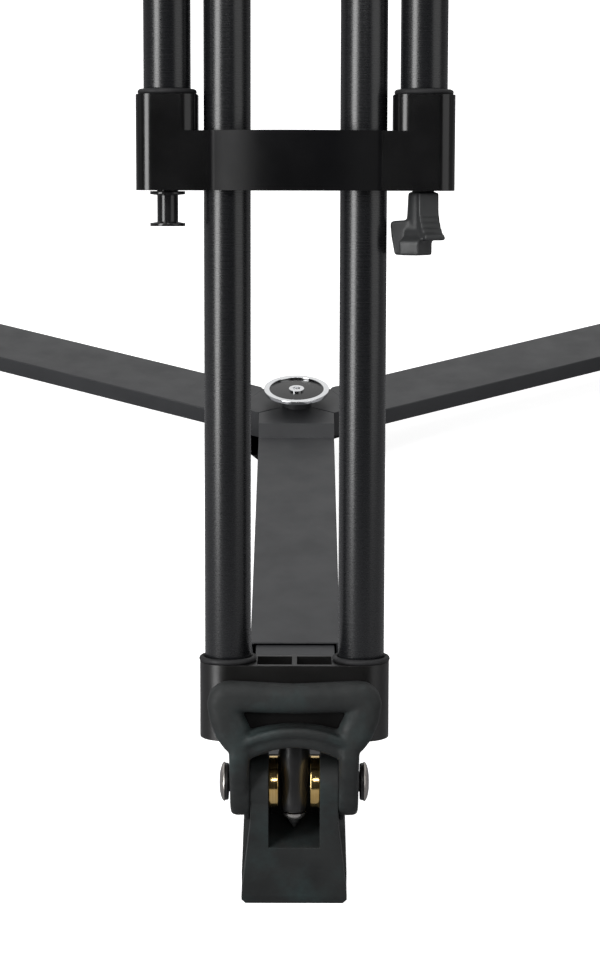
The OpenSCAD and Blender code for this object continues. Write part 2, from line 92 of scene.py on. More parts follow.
class Finish:
    """A Principled material, with short helpers for the nodes that feed it."""

    def __init__(self, name, **sockets):
        self.material = bpy.data.materials.new(name)
        self.material.use_nodes = True
        self.nodes = self.material.node_tree.nodes
        self.links = self.material.node_tree.links
        self.surface = self.nodes["Principled BSDF"]
        for socket, value in sockets.items():
            self.surface.inputs[socket.replace("_", " ")].default_value = value
        self.point = self.nodes.new("ShaderNodeTexCoord").outputs["Object"]

    def feed(self, socket, value):
        self.links.new(value, self.surface.inputs[socket])
        return self

    def distance_along(self, direction):
        """How far a point lies along a direction, in metres."""
        node = self.nodes.new("ShaderNodeVectorMath")
        node.operation = "DOT_PRODUCT"
        node.inputs[1].default_value = direction
        self.links.new(self.point, node.inputs[0])
        return node.outputs["Value"]

    def noise(self, scale, detail=3.0, rough=0.55):
        node = self.nodes.new("ShaderNodeTexNoise")
        node.inputs["Scale"].default_value = scale
        node.inputs["Detail"].default_value = detail
        node.inputs["Roughness"].default_value = rough
        self.links.new(self.point, node.inputs["Vector"])
        return node.outputs["Fac"]

    def line_noise(self, along, scale):
        """Noise that changes only along one direction, as turning marks do."""
        node = self.nodes.new("ShaderNodeTexNoise")
        node.noise_dimensions = "1D"
        node.inputs["Scale"].default_value = scale
        node.inputs["Detail"].default_value = 3
        self.links.new(along, node.inputs["W"])
        return node.outputs["Fac"]

    def cells(self, scale):
        node = self.nodes.new("ShaderNodeTexVoronoi")
        node.inputs["Scale"].default_value = scale
        self.links.new(self.point, node.inputs["Vector"])
        return node.outputs["Distance"]

    def ramp(self, value, low, high, start=0.35, end=0.65):
        """Maps a value between start and end to a number between low and high."""
        node = self.nodes.new("ShaderNodeMapRange")
        for socket, number in (("From Min", start), ("From Max", end),
                               ("To Min", low), ("To Max", high)):
            node.inputs[socket].default_value = number
        self.links.new(value, node.inputs["Value"])
        return node.outputs["Result"]

    def colours(self, value, low, high, start=0.35, end=0.65):
        """Maps a value between start and end to a colour between low and high."""
        node = self.nodes.new("ShaderNodeValToRGB")
        node.color_ramp.elements[0].position = start
        node.color_ramp.elements[0].color = (*low, 1)
        node.color_ramp.elements[1].position = end
        node.color_ramp.elements[1].color = (*high, 1)
        self.links.new(value, node.inputs["Fac"])
        return node.outputs["Color"]

    def mix(self, factor, a, b):
        node = self.nodes.new("ShaderNodeMix")
        node.data_type = "RGBA"
        self.links.new(factor, node.inputs["Factor"])
        self.links.new(a, node.inputs[6])
        self.links.new(b, node.inputs[7])
        return node.outputs[2]

    def add(self, a, b, share=1.0):
        node = self.nodes.new("ShaderNodeMath")
        node.operation = "MULTIPLY_ADD"
        self.links.new(b, node.inputs[0])
        node.inputs[1].default_value = share
        self.links.new(a, node.inputs[2])
        return node.outputs["Value"]

    def bump(self, height, strength, depth_mm):
        node = self.nodes.new("ShaderNodeBump")
        node.inputs["Strength"].default_value = strength
        node.inputs["Distance"].default_value = depth_mm * MM
        self.links.new(height, node.inputs["Height"])
        return self.feed("Normal", node.outputs["Normal"])


def painted(name, dark, light, rough, grain=900, depth=0.02, strength=0.25, shine=0.5):
    """A sprayed or powder-coated metal: slow tone changes and fine orange peel."""
    finish = Finish(name, Specular_IOR_Level=shine)
    slow = finish.noise(35, 4)
    finish.feed("Base Color", finish.colours(slow, dark, light))
    finish.feed("Roughness", finish.ramp(finish.noise(60, 5), rough[0], rough[1]))
    return finish.bump(finish.noise(grain, 2), strength, depth).material


def moulded(name, dark, light, rough, grain=1400, depth=0.03):
    """Moulded plastic with a fine spark-eroded grain."""
    finish = Finish(name, Specular_IOR_Level=0.45)
    finish.feed("Base Color", finish.colours(finish.noise(50, 5), dark, light))
    finish.feed("Roughness", finish.ramp(finish.noise(120, 3), rough[0], rough[1]))
    return finish.bump(finish.cells(grain), 0.3, depth).material


def drawn_tube(i):
    """Black anodised tube: fine turning marks round it and faint handling marks."""
    finish = Finish(f"black_anodised_tube_{i}", Specular_IOR_Level=0.62)
    along = finish.distance_along(up_leg(i))
    marks = finish.add(finish.line_noise(along, 2200), finish.noise(700, 3), 0.5)
    slow = finish.noise(9, 4)
    dark, light = (0.0045, 0.0048, 0.0058), (0.0075, 0.0079, 0.009)
    finish.feed("Base Color", finish.colours(slow, dark, light))
    finish.feed("Roughness", finish.ramp(marks, 0.23, 0.32, 0.5, 1.0))
    return finish.bump(marks, 0.09, 0.02).material


def anodised(name, dark, light, rough, direction, metallic=0.0):
    """Anodised aluminium with fine marks across one direction."""
    finish = Finish(name, Metallic=metallic, Specular_IOR_Level=0.5)
    lines = finish.line_noise(finish.distance_along(direction), 1300)
    marks = finish.add(lines, finish.noise(300, 3), 0.5)
    finish.feed("Base Color", finish.colours(finish.noise(24, 4), dark, light))
    finish.feed("Roughness", finish.ramp(marks, rough[0], rough[1], 0.5, 1.0))
    return finish.bump(marks, 0.2, 0.015).material


def turned_metal(name, dark, light, rough, direction, scale=1600):
    """Bare metal turned on a lathe about a direction."""
    finish = Finish(name, Metallic=1.0)
    marks = finish.line_noise(finish.distance_along(direction), scale)
    tone = finish.add(marks, finish.noise(90, 4), 0.7)
    finish.feed("Base Color", finish.colours(tone, dark, light, 0.6, 1.1))
    finish.feed("Roughness", finish.ramp(tone, rough[0], rough[1], 0.6, 1.1))
    return finish.bump(marks, 0.2, 0.01).material


def rubber(name, dark, light, dust):
    """Moulded rubber: a dry bloom of dust in patches over a dark matt surface."""
    finish = Finish(name, Specular_IOR_Level=0.35)
    base = finish.colours(finish.noise(70, 5), dark, light)
    patches = finish.ramp(finish.noise(34, 6, 0.65), 0.0, 0.55, 0.52, 0.78)
    bloom = finish.colours(finish.noise(520, 4), dust, tuple(0.7 * c for c in dust))
    finish.feed("Base Color", finish.mix(patches, base, bloom))
    finish.feed("Roughness", finish.ramp(finish.noise(180, 4), 0.52, 0.72))
    grain = finish.add(finish.noise(1300, 3), finish.noise(160, 3), 1.2)
    return finish.bump(grain, 0.3, 0.05).material


def clear_liquid(name, dark, light):
    finish = Finish(name, Roughness=0.05, Transmission_Weight=0.6)
    return finish.feed("Base Color", finish.colours(finish.noise(300), dark, light)).material


BLACK = (0.006, 0.006, 0.0066)
SOFT_BLACK = (0.011, 0.011, 0.012)
ACROSS = (1, 0, 0)
INWARDS = (0, 1, 0)
UPWARDS = (0, 0, 1)

TUBES = {i: drawn_tube(i) for i in LEGS}
CASTING = painted(
    "satin_black_casting", (0.0032, 0.003, 0.0029), (0.005, 0.0047, 0.0046), (0.33, 0.41))
CLAMP = painted(
    "gloss_black_clamp", (0.003, 0.003, 0.0031), (0.0045, 0.0045, 0.0048), (0.17, 0.23),
    grain=500, depth=0.008, strength=0.15)
BOW = painted(
    "dull_black_bow", (0.003, 0.003, 0.0033), (0.0048, 0.0048, 0.0055), (0.28, 0.36),
    grain=700, depth=0.01, strength=0.15, shine=0.09)
SPOOL = painted("turned_black_spool", BLACK, SOFT_BLACK, (0.14, 0.22), grain=700, depth=0.008)
KNOB = moulded("dark_grey_knob", (0.022, 0.023, 0.0235), (0.031, 0.032, 0.033), (0.42, 0.55))
RUBBER = rubber(
    "grey_green_rubber", (0.0125, 0.0140, 0.0140), (0.019, 0.0208, 0.0206), (0.034, 0.064, 0.064))
LIQUID = clear_liquid("level_liquid", (0.35, 0.60, 0.10), (0.45, 0.70, 0.14))
RING = rubber(
    "black_rubber_ring", (0.010, 0.010, 0.011), (0.016, 0.016, 0.017), (0.024, 0.025, 0.026))
COLLAR = painted(
    "black_spike_collar", (0.008, 0.008, 0.0084), (0.012, 0.012, 0.0125), (0.3, 0.4))
POINT = turned_metal(
    "bright_steel_point", (0.42, 0.40, 0.38), (0.62, 0.60, 0.57), (0.22, 0.34), UPWARDS)
BOLT = turned_metal(
    "stainless_dome", (0.34, 0.31, 0.29), (0.50, 0.47, 0.44), (0.20, 0.34), ACROSS, 900)
BRASS = turned_metal(
    "turned_brass", (0.70, 0.45, 0.15), (0.90, 0.66, 0.29), (0.10, 0.18), ACROSS, 1200)
# Painted shade: the bolt heads' sides and undersides are coloured near black to stand in for their shade and the
# strap's dark reflection.
SHADE_PAINTED_BOLT_SIDE = painted(
    "bolt_side_painted_shade", (0.010, 0.009, 0.009), (0.03, 0.027, 0.026), (0.3, 0.45))
# A steel tip painted dark: the same steel as the bright shoulder, darkened as painted shade for the shadow the tip
# sits in.
SHADE_PAINTED_TIP = turned_metal(
    "steel_tip_painted_shade", (0.05, 0.05, 0.05), (0.10, 0.10, 0.10), (0.35, 0.5), UPWARDS)
STEEL = turned_metal(
    "turned_steel", (0.45, 0.45, 0.46), (0.62, 0.62, 0.63), (0.22, 0.36), UPWARDS)
ARM = painted(
    "matt_grey_arm", (0.025, 0.0258, 0.028), (0.031, 0.032, 0.0345), (0.42, 0.52), grain=1100)
INNER_ARM = anodised(
    "grey_inner_bar", (0.025, 0.0258, 0.028), (0.032, 0.033, 0.0355), (0.42, 0.52), INWARDS)
CAP_RIM = turned_metal(
    "polished_cap_rim", (0.80, 0.81, 0.83), (0.90, 0.91, 0.92), (0.06, 0.12), UPWARDS, 500)
HEAD = painted(
    "textured_black_head", (0.014, 0.0145, 0.016), (0.020, 0.0205, 0.022), (0.38, 0.50),
    grain=1500, depth=0.05)
BALL = anodised(
    "turned_ball", (0.26, 0.27, 0.28), (0.34, 0.35, 0.36), (0.26, 0.40), UPWARDS, metallic=0.9)
DIAL = moulded("dark_dial", (0.018, 0.0185, 0.020), (0.026, 0.0265, 0.028), (0.40, 0.52))
PLATE = anodised(
    "dark_anodised_plate", (0.035, 0.036, 0.040), (0.05, 0.051, 0.055), (0.30, 0.42), INWARDS,
    metallic=0.3)
GRIP = rubber(
    "ribbed_black_grip", (0.009, 0.009, 0.0095), (0.014, 0.014, 0.0145), (0.02, 0.02, 0.021))

SLOT_FINISH = {
    "casting": CASTING, "clamp": CLAMP, "spool": SPOOL, "knob": KNOB, "rubber": RUBBER,
    "spike": COLLAR, "fastener": BOLT, "arm": ARM, "arm_inner": INNER_ARM, "steel": STEEL,
    "cap": CAP_RIM, "crown": CASTING, "ball": BALL, "head": HEAD, "dial": DIAL, "plate": PLATE,
    "grip": GRIP,
}


def finish_of(node):
    slot = NODE_SLOT[node]
    if slot != "tube":
        return SLOT_FINISH[slot]
    return TUBES[int(node[-1])] if node[-1].isdigit() else TUBES[1]


# --- pieces -------------------------------------------------------------------

def add_piece(name, bm, body, materials, stands_for=(), crease=32):
    """Makes a bmesh in metres into a piece on a body, smooth apart from its creases."""
    mesh = bpy.data.meshes.new(name)
    bmesh.ops.recalc_face_normals(bm, faces=bm.faces)
    bm.to_mesh(mesh)
    bm.free()
    mesh.shade_smooth()
    mesh.set_sharp_from_angle(angle=math.radians(crease))
    piece = bpy.data.objects.new(name, mesh)
    bpy.context.scene.collection.objects.link(piece)
    for material in materials:
        mesh.materials.append(material)
    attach(piece, body)
    if stands_for:
        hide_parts(*stands_for)
    return piece


def lathe(bm, profile, where, segments=64, material=0, closed=True, sides=None):
    """Turns (radius, height) points about local Z. sides gives rows that are polygons, not round."""
    sides = sides or {}
    rows = []
    for row, (radius, height) in enumerate(profile):
        if radius < 1e-6:
            rows.append([bm.verts.new(where @ Vector((0, 0, height)))])
            continue
        circle = []
        for k in range(segments):
            angle = 2 * math.pi * k / segments
            reach = radius
            if row in sides:
                part = math.pi / sides[row]
                reach = radius * math.cos(part) / math.cos(angle % (2 * part) - part)
            spot = Vector((reach * math.cos(angle), reach * math.sin(angle), height))
            circle.append(bm.verts.new(where @ spot))
        rows.append(circle)
    pairs = list(zip(rows, rows[1:])) + ([(rows[-1], rows[0])] if closed else [])
    for a, b in pairs:
        for k in range(segments):
            corners = [a[k % len(a)], a[(k + 1) % len(a)], b[(k + 1) % len(b)], b[k % len(b)]]
            unique = list(dict.fromkeys(corners))
            if len(unique) > 2:
                bm.faces.new(unique).material_index = material


def rounded_rows(points, radius, steps=4):
    """A (radius, height) profile with its corners rounded by short arcs."""
    made = []
    for k, corner in enumerate(points):
        here = Vector(corner)
        before = (Vector(points[k - 1]) - here)
        after = (Vector(points[(k + 1) % len(points)]) - here)
        reach = min(radius, before.length * 0.45, after.length * 0.45)
        if corner[0] < 1e-6 or reach < 1e-4:
            made.append(tuple(here))
            continue
        a = here + before.normalized() * reach
        b = here + after.normalized() * reach
        for step in range(steps + 1):
            t = step / steps
            made.append(tuple(a * (1 - t) ** 2 + here * 2 * t * (1 - t) + b * t ** 2))
    return made


def ring(bm, where, radius, cord, height, x):
    """A rubber ring about local Z."""
    steps = 14
    section = [(radius + cord / 2 * math.cos(t), height + cord / 2 * math.sin(t))
               for t in (2 * math.pi * k / steps for k in range(steps))]
    lathe(bm, section, where @ Matrix.Translation((x, 0, 0)))


def cad_mesh(node):
    """A welded bmesh of a CAD node, with flat faces joined."""
    bm = bmesh.new()
    bm.from_mesh(frame["nodes"][node].data)
    bmesh.ops.remove_doubles(bm, verts=bm.verts, dist=2e-6)
    bmesh.ops.dissolve_limit(bm, angle_limit=math.radians(0.5), verts=bm.verts, edges=bm.edges)
    for face in bm.faces:
        face.material_index = 0
    return bm


def sharp_edges(bm, angle):
    limit = math.radians(angle)
    return [e for e in bm.edges if len(e.link_faces) == 2 and e.calc_face_angle(0) > limit]


def edged(node, width, segments=2):
    """A CAD node with its edges rounded by width millimetres. It stands for the node."""
    bm = cad_mesh(node)
    bmesh.ops.bevel(bm, geom=sharp_edges(bm, 40), offset=width * MM, offset_type="OFFSET",
                    segments=segments, profile=0.5, affect="EDGES", clamp_overlap=True)
    piece = add_piece(f"{node}_edged", bm, NODE_BODY[node], [finish_of(node)],
                      [node], 50)
    piece.modifiers.new("even_shading", "WEIGHTED_NORMAL").keep_sharp = True
    return piece


def remeshed(bm, voxel, rounds):
    """Joins a bmesh's closed, overlapping forms into one skin and smooths it."""
    source = bpy.data.objects.new("remesh_source", bpy.data.meshes.new("remesh_source"))
    bm.to_mesh(source.data)
    bm.free()
    bpy.context.scene.collection.objects.link(source)
    remesh = source.modifiers.new("remesh", "REMESH")
    remesh.mode = "VOXEL"
    remesh.voxel_size = voxel * MM
    shown = source.evaluated_get(bpy.context.evaluated_depsgraph_get())
    skin = bmesh.new()
    skin.from_mesh(bpy.data.meshes.new_from_object(shown))
    bpy.data.objects.remove(source)
    for _ in range(rounds):
        bmesh.ops.smooth_vert(skin, verts=skin.verts, factor=0.5,
                              use_axis_x=True, use_axis_y=True, use_axis_z=True)
    return skin


def rounded_box_section(wide, deep, corner, steps=5):
    """The outline of a round-cornered rectangle from its half sizes."""
    corner = min(corner, wide, deep)
    points = []
    for quarter, (sx, sy) in enumerate(((1, 1), (-1, 1), (-1, -1), (1, -1))):
        for step in range(steps + 1):
            angle = math.pi / 2 * (quarter + step / steps)
            points.append((sx * (wide - corner) + corner * math.cos(angle),
                           sy * (deep - corner) + corner * math.sin(angle)))
    return points


def bar_along(bm, where, path, sections, depth_axis, corner):
    """A closed bar through local points. Each section is (half width, half depth), with the depth
    measured along depth_axis."""
    points = [Vector(p) for p in path]
    rings = []
    for k, point in enumerate(points):
        tangent = (points[min(k + 1, len(points) - 1)] - points[max(k - 1, 0)]).normalized()
        across = tangent.cross(Vector(depth_axis)).normalized()
        deep = across.cross(tangent)
        outline = rounded_box_section(*sections[k], corner)
        rings.append([bm.verts.new(where @ (point + across * u + deep * v)) for u, v in outline])
    count = len(rings[0])
    for a, b in zip(rings, rings[1:]):
        for k in range(count):
            bm.faces.new((a[k], a[(k + 1) % count], b[(k + 1) % count], b[k]))
    bm.faces.new(rings[0])
    bm.faces.new(list(reversed(rings[-1])))


# --- leg ------------------------------------------------------------------

TUBE_SEGMENTS = 96


def clamp(i):
    """The clamp: glossy sockets joined by a duller bowed bar, which reaches 38 mm to each side."""
    bar_reach = 38
    back = leg_place(i).inverted()
    piece = edged(f"clamp_{i}", 0.45, 3)
    piece.data.materials.append(BOW)
    for face in piece.data.polygons:
        if abs((back @ face.center).x) < bar_reach:
            face.material_index = 1


def tube_pair(i, node, wall):
    """Two drawn tubes with slightly broken end edges, in place of the CAD node."""
    where = leg_place(i)
    low, high = local_span(node, where)
    radius = (high.y - low.y) / 2
    offset = high.x - radius
    bm = bmesh.new()
    section = [(radius, low.z), (radius, high.z), (radius - wall, high.z), (radius - wall, low.z)]
    for side in (-1, 1):
        spot = where @ Matrix.Translation((side * offset, 0, 0))
        lathe(bm, rounded_rows(section, 0.4, 2), spot, TUBE_SEGMENTS)
    add_piece(f"{node}_drawn", bm, NODE_BODY[node], [TUBES[i]], [node], 50)


def tube_rings(i):
    """The rubber rings that seal the tubes at the clamp's sockets and on the foot casting."""
    where = leg_place(i)
    cord = 2.3
    for label, node, tubes, body in (
            ("clamp", f"clamp_{i}", f"upper_tubes_{i}", f"upper_{i}"),
            ("foot", f"foot_casting_{i}", f"lower_tubes_{i}", f"lower_{i}")):
        top = local_span(node, where)[1].z
        low, high = local_span(tubes, where)
        radius = (high.y - low.y) / 2
        offset = high.x - radius
        bm = bmesh.new()
        for side in (-1, 1):
            ring(bm, where, radius + cord / 2, cord, top + 1.0, side * offset)
        add_piece(f"{label}_rings_{i}", bm, body, [RING])


def spike(i):
    """The tapered black collar, its bright steel shoulder and its tip, painted dark steel as shade."""
    node = f"spike_{i}"
    where = leg_place(i)
    high = local_span(node, where)[1]
    wide = high.x
    seat = high.z - 7.8
    collar_end = (4.1, -12.1)
    shoulder_end = (2.8, -14.7)
    collar = [(0, high.z), (6, high.z), (6, seat), (wide, seat), (wide, 10.6), (6.1, 8), (5.8, 3.5),
              (5.6, -1), (5.4, -5), (5.15, -8.4), (4.8, -10.6), collar_end]
    shoulder = [collar_end, (4.6, -12.25), (4.5, -13.0), (3.9, -13.9), shoulder_end]
    tip = [shoulder_end, (2.5, -15.1), (0.5, -18.1), (0, -18.4)]
    bm = bmesh.new()
    lathe(bm, rounded_rows(collar, 0.8), where, closed=False)
    lathe(bm, shoulder, where, material=1, closed=False)
    # The tip uses the steel painted dark as shade.
    lathe(bm, tip, where, material=2, closed=False)
    bmesh.ops.remove_doubles(bm, verts=bm.verts, dist=1e-6)
    add_piece(f"{node}_turned", bm, NODE_BODY[node], [COLLAR, POINT, SHADE_PAINTED_TIP], [node], 40)


def bolts(i):
    """Domed socket-head bolts and brass bushes, on both sides of the shoe; the heads' sides and undersides are
    painted dark as shade.
    """
    node = f"shoe_bolts_{i}"
    axle = JOINTS[f"shoe_level_{i}"]["pos_m"]
    reach = local_span(node, foot_place(i))[1].x
    face = reach - 3.7
    rim = reach - 2.1
    head = 7.8
    socket = 2.5
    floor_of_socket = reach - 2.4
    bush = [(4.02, 6.3), (10.25, 6.3), (10.25, 10.05), (4.02, 10.05)]
    shank = [(0, 7.4), (4, 7.4), (4, face), (head - 0.9, face), (head - 0.5, face + 0.4),
             (head - 0.4, rim)]
    dome = [(head - 0.4, rim), (head - 0.1, rim - 0.1)]
    for step in range(6):
        angle = math.radians(12 * step)
        dome.append((head * math.cos(angle), rim + (reach - rim) * math.sin(angle)))
    dome += [(socket + 0.3, reach - 0.15), (socket, reach - 0.3), (socket, floor_of_socket),
             (0, floor_of_socket)]
    hexagons = {len(dome) - 3: 6, len(dome) - 2: 6}
    bm = bmesh.new()
    for side in (-1, 1):
        where = place((0, 0, 1), across_leg(i) * side, axle)
        # The shank and the head's side take the near-black painted shade.
        lathe(bm, shank, where, 48, 2, False)
        lathe(bm, dome, where, 48, 0, False, hexagons)
        lathe(bm, rounded_rows(bush, 0.35, 3), where, 64, 1)
    bmesh.ops.remove_doubles(bm, verts=bm.verts, dist=1e-6)
    add_piece(f"{node}_turned", bm, NODE_BODY[node], [BOLT, BRASS, SHADE_PAINTED_BOLT_SIDE], [node], 35)


def arc(centre, radius, start, end, steps):
    """Points (u, v) on an arc, with its angles in degrees."""
    turn = [math.radians(start + (end - start) * k / steps) for k in range(steps + 1)]
    return [(centre[0] + radius * math.cos(t), centre[1] + radius * math.sin(t)) for t in turn]


def strap(i):
    """The pull strap: a rolled grip, two arms and an arched web that run back to discs on the bolts."""
    node = f"strap_{i}"
    where = leg_place(i)
    low, high = local_span(node, where)
    inner, outer = 17.3, 25.3
    middle = (inner + outer) / 2
    grip_z = high.z - 5.9
    grip_y = low.y + 5.6
    bm = bmesh.new()
    corner = arc((25.0, grip_z - 1.6), 2.6, 90, 10, 4)
    half_path = corner + [(26.4, 30.0), (23.6, 23.8), (21.7, 18.0)]
    half_size = [(5.9, 5.4), (6.0, 5.4), (6.0, 5.3), (6.1, 5.2), (6.3, 5.2), (6.5, 5.0), (6.9, 4.8),
                 (5.0, 4.6)]
    path = [(-x, z) for x, z in reversed(half_path)] + [(0, grip_z)] + half_path
    sizes = list(reversed(half_size)) + [(5.7, 5.6)] + half_size
    bar_along(bm, where, [(x, grip_y, z) for x, z in path], sizes, (0, 1, 0), 4.6)
    arm_size = [(5.0, 3.9), (6.4, 3.9), (8.0, 3.8), (9.6, 3.8), (10.5, 3.8)]
    disc = [(0, -3.8), (13.2, -3.8), (13.2, 3.8), (0, 3.8)]
    for side in (-1, 1):
        x = side * middle
        arm = [(x, grip_y + 0.4, 21.0), (x, grip_y + 1.6, 16.0), (x, grip_y + 4.6, 10.5),
               (x, -6.5, 4.5), (x, -3.0, 1.0)]
        bar_along(bm, where, arm, arm_size, (1, 0, 0), 2.6)
        turn = Matrix.Rotation(math.pi / 2, 4, "Y")
        disc_place = where @ Matrix.Translation((x, 0, 0)) @ turn
        lathe(bm, rounded_rows(disc, 2.4), disc_place, 48, 0, False)
        face = [(0, -4.1 * side), (13.0, -4.1 * side), (13.0, -0.8 * side), (0, -0.8 * side)]
        lathe(bm, face, disc_place, 48, 0, False)
    web = [(x, grip_y + 0.3 + 0.004 * x * x, 22.4 - 0.0125 * x * x) for x in range(-21, 22, 3)]
    web_size = [(4.7 + 0.002 * point[0] ** 2, 4.4) for point in web]
    bar_along(bm, where, web, web_size, (0, 1, 0), 3.4)
    roll = [(x, y - 4.6, z + 2.2) for x, y, z in web]
    bar_along(bm, where, roll, [(2.0, 1.8)] * len(roll), (0, 1, 0), 1.6)
    skin = remeshed(bm, 0.65, 5)
    add_piece(f"{node}_moulded", skin, NODE_BODY[node], [RUBBER], [node], 80)


def prism(bm, where, outline, thick, broken=0.5):
    """A plate cut to an outline of local (x, z) points, thick along y, with its edges broken."""
    plate = bmesh.new()
    faces = []
    for y in (-thick / 2, thick / 2):
        faces.append(plate.faces.new([plate.verts.new((x, y, z)) for x, z in outline]))
    near, far = (list(face.verts) for face in faces)
    for k in range(len(outline)):
        after = (k + 1) % len(outline)
        plate.faces.new((near[k], near[after], far[after], far[k]))
    bmesh.ops.recalc_face_normals(plate, faces=plate.faces)
    bmesh.ops.bevel(plate, geom=sharp_edges(plate, 25), offset=broken, segments=3, profile=0.5,
                    affect="EDGES", clamp_overlap=True)
    bmesh.ops.transform(plate, matrix=where, verts=plate.verts)
    mesh = bpy.data.meshes.new("plate")
    plate.to_mesh(mesh)
    plate.free()
    bm.from_mesh(mesh)
    bpy.data.meshes.remove(mesh)


# Each wing's direction in degrees, its thickness, and its outline as (reach, height) points.
KNOB_WINGS = (
    (20, 8.4, [
        (0, -0.6), (6.0, -0.6), (6.3, -9.6), (7.2, -10.4), (7.0, -11.6), (8.2, -12.5), (8.0, -13.7),
        (9.6, -14.6), (9.5, -15.5), (12.0, -16.7), (12.3, -17.2), (12.2, -18.7), (0, -18.7)]),
    (-30, 8.6, [
        (0, -9), (5.4, -11.5), (6.0, -14.5), (8.5, -17.2), (11.8, -18.8), (12.2, -19.4),
        (11.6, -24.4), (0, -24.4)]),
    (-100, 8.0, [
        (0, -9), (5.0, -11.0), (11.4, -11.4), (12.2, -12.2), (11.8, -17), (10.4, -24.4),
        (0, -24.4)]),
)


def lock_knob(i):
    """The clamp's knob: a stem, a round core and three flared wings, one of them stepped for grip."""
    node = f"lock_knob_{i}"
    leg_frame = leg_place(i)
    centre = leg_frame.inverted() @ Vector(JOINTS[f"leg_lock_{i}"]["pos_m"])
    clamp_foot = local_span(f"clamp_{i}", leg_frame)[0].z
    where = leg_frame @ Matrix.Translation((centre.x, 0, clamp_foot))
    core = [(0, 5.4), (3.9, 5.4), (3.9, -0.5), (5.7, -0.6), (6.2, -12), (5.6, -18.4), (0, -18.4)]
    bm = bmesh.new()
    lathe(bm, rounded_rows(core, 0.5), where, 48, 0, False)
    for azimuth, thick, outline in KNOB_WINGS:
        turn = Matrix.Rotation(math.radians(azimuth - 90), 4, "Z")
        prism(bm, where @ turn, outline, thick)
    skin = remeshed(bm, 0.4, 9)
    add_piece(f"{node}_moulded", skin, NODE_BODY[node], [KNOB], [node], 80)


def tube_tops(i):
    """The lower tubes' end caps, and the guide that holds their upper ends apart."""
    where = leg_place(i)
    low, high = local_span(f"lower_tubes_{i}", where)
    radius = (high.y - low.y) / 2
    offset = high.x - radius
    top = high.z
    cap = [(0, top - 6), (radius - 1.4, top - 6), (radius - 1.4, top + 0.1), (radius - 0.2, top + 0.2),
           (radius - 0.5, top + 2.4), (0, top + 2.6)]
    bm = bmesh.new()
    for side in (-1, 1):
        spot = where @ Matrix.Translation((side * offset, 0, 0))
        lathe(bm, rounded_rows(cap, 0.5), spot, 48, 0, False)
    add_piece(f"tube_caps_{i}", bm, f"lower_{i}", [DIAL])
    around = radius + 1.6
    outline = rounded_box_section(offset + around, around, around, 10)
    bm = bmesh.new()
    rows = []
    for inset, drop in ((0.8, 16), (0, 15.2), (0, 0.8), (0.8, 0)):
        less_x, less_y = 1 - inset / 40, 1 - inset / 12
        points = [Vector((x * less_x, y * less_y, top - 2 - drop)) for x, y in outline]
        rows.append([bm.verts.new(where @ point) for point in points])
    for a, b in zip(rows, rows[1:]):
        for k in range(len(outline)):
            after = (k + 1) % len(outline)
            bm.faces.new((a[k], a[after], b[after], b[k]))
    bm.faces.new(rows[0])
    bm.faces.new(rows[-1])
    add_piece(f"tube_guide_{i}", bm, f"lower_{i}", [DIAL], (), 40)


def leg(i):
    tube_pair(i, f"upper_tubes_{i}", 1.6)
    tube_pair(i, f"lower_tubes_{i}", 1.3)
    tube_rings(i)
    edged(f"top_casting_{i}", 0.9)
    clamp(i)
    edged(f"foot_casting_{i}", 0.5, 3)
    spike(i)
    bolts(i)
    strap(i)
    edged(f"shoe_{i}", 0.5, 3)
    lock_knob(i)
    tube_tops(i)
    for part, width in (("arm_bar", 0.4), ("arm_sleeve", 0.6), ("arm_pin", 0.3), ("spool", 0.2)):
        edged(f"{part}_{i}", width)


for leg_number in LEGS:
    leg(leg_number)


# --- hub, crown and head ---------------------------------------------------

CENTRE = Matrix.Scale(MM, 4)


def hub_cap():
    """A bright rim round a dark disc, held by a bright socket screw."""
    low, high = local_span("hub_cap", CENTRE)
    outside = high.x
    top = high.z
    rim = [(outside, top - 2), (outside, top), (outside - 3, top), (outside - 3, top - 1)]
    disc = [(0, top - 1.9), (outside - 1, top - 1.9), (outside - 1, top - 0.9), (0, top - 0.9)]
    stem = [(0, low.z), (3, low.z), (3, top - 1.5), (0, top - 1.5)]
    screw = [(0, top - 0.95), (4.1, top - 0.95), (4.1, top + 0.05), (2.3, top + 0.1),
             (2.2, top - 0.6), (0, top - 0.6)]
    socket_rows = {3: 6, 4: 6}
    bm = bmesh.new()
    lathe(bm, rounded_rows(rim, 0.35), CENTRE, 96, 0)
    lathe(bm, rounded_rows(disc, 0.2), CENTRE, 96, 1, False)
    lathe(bm, stem, CENTRE, 32, 1, False)
    lathe(bm, screw, CENTRE, 48, 0, False, socket_rows)
    add_piece("hub_cap_turned", bm, NODE_BODY["hub_cap"], [CAP_RIM, CLAMP], ["hub_cap"], 35)


def local_top(node, nearest, furthest):
    """The highest point, in millimetres, of a node between two distances behind the centre line."""
    points = [v.co / MM for v in frame["nodes"][node].data.vertices]
    return max(p.z for p in points if nearest < p.y < furthest)


def bubble_level():
    """A round bubble level let into the top of the pan body, behind the tilt body."""
    edge = local_span("pan_body", CENTRE)[1].x
    top = local_top("pan_body", edge - 6, edge + 0.1)
    where = CENTRE @ Matrix.Translation((0, edge - 10, top))
    bezel = [(8.2, -1.0), (8.2, 1.6), (6.4, 2.0), (6.2, 1.2), (6.2, -1.0)]
    lens = [(0, -1.0), (6.25, -1.0), (6.25, 1.1), (4.5, 1.7), (2.2, 1.95), (0, 2.0)]
    target = [(1.9, 1.98), (2.2, 2.02), (2.45, 1.96)]
    bm = bmesh.new()
    lathe(bm, rounded_rows(bezel, 0.4), where, 48, 0)
    lathe(bm, lens, where, 48, 1, False)
    lathe(bm, target, where, 48, 0)
    add_piece("bubble_level", bm, "pan", [DIAL, LIQUID], (), 40)


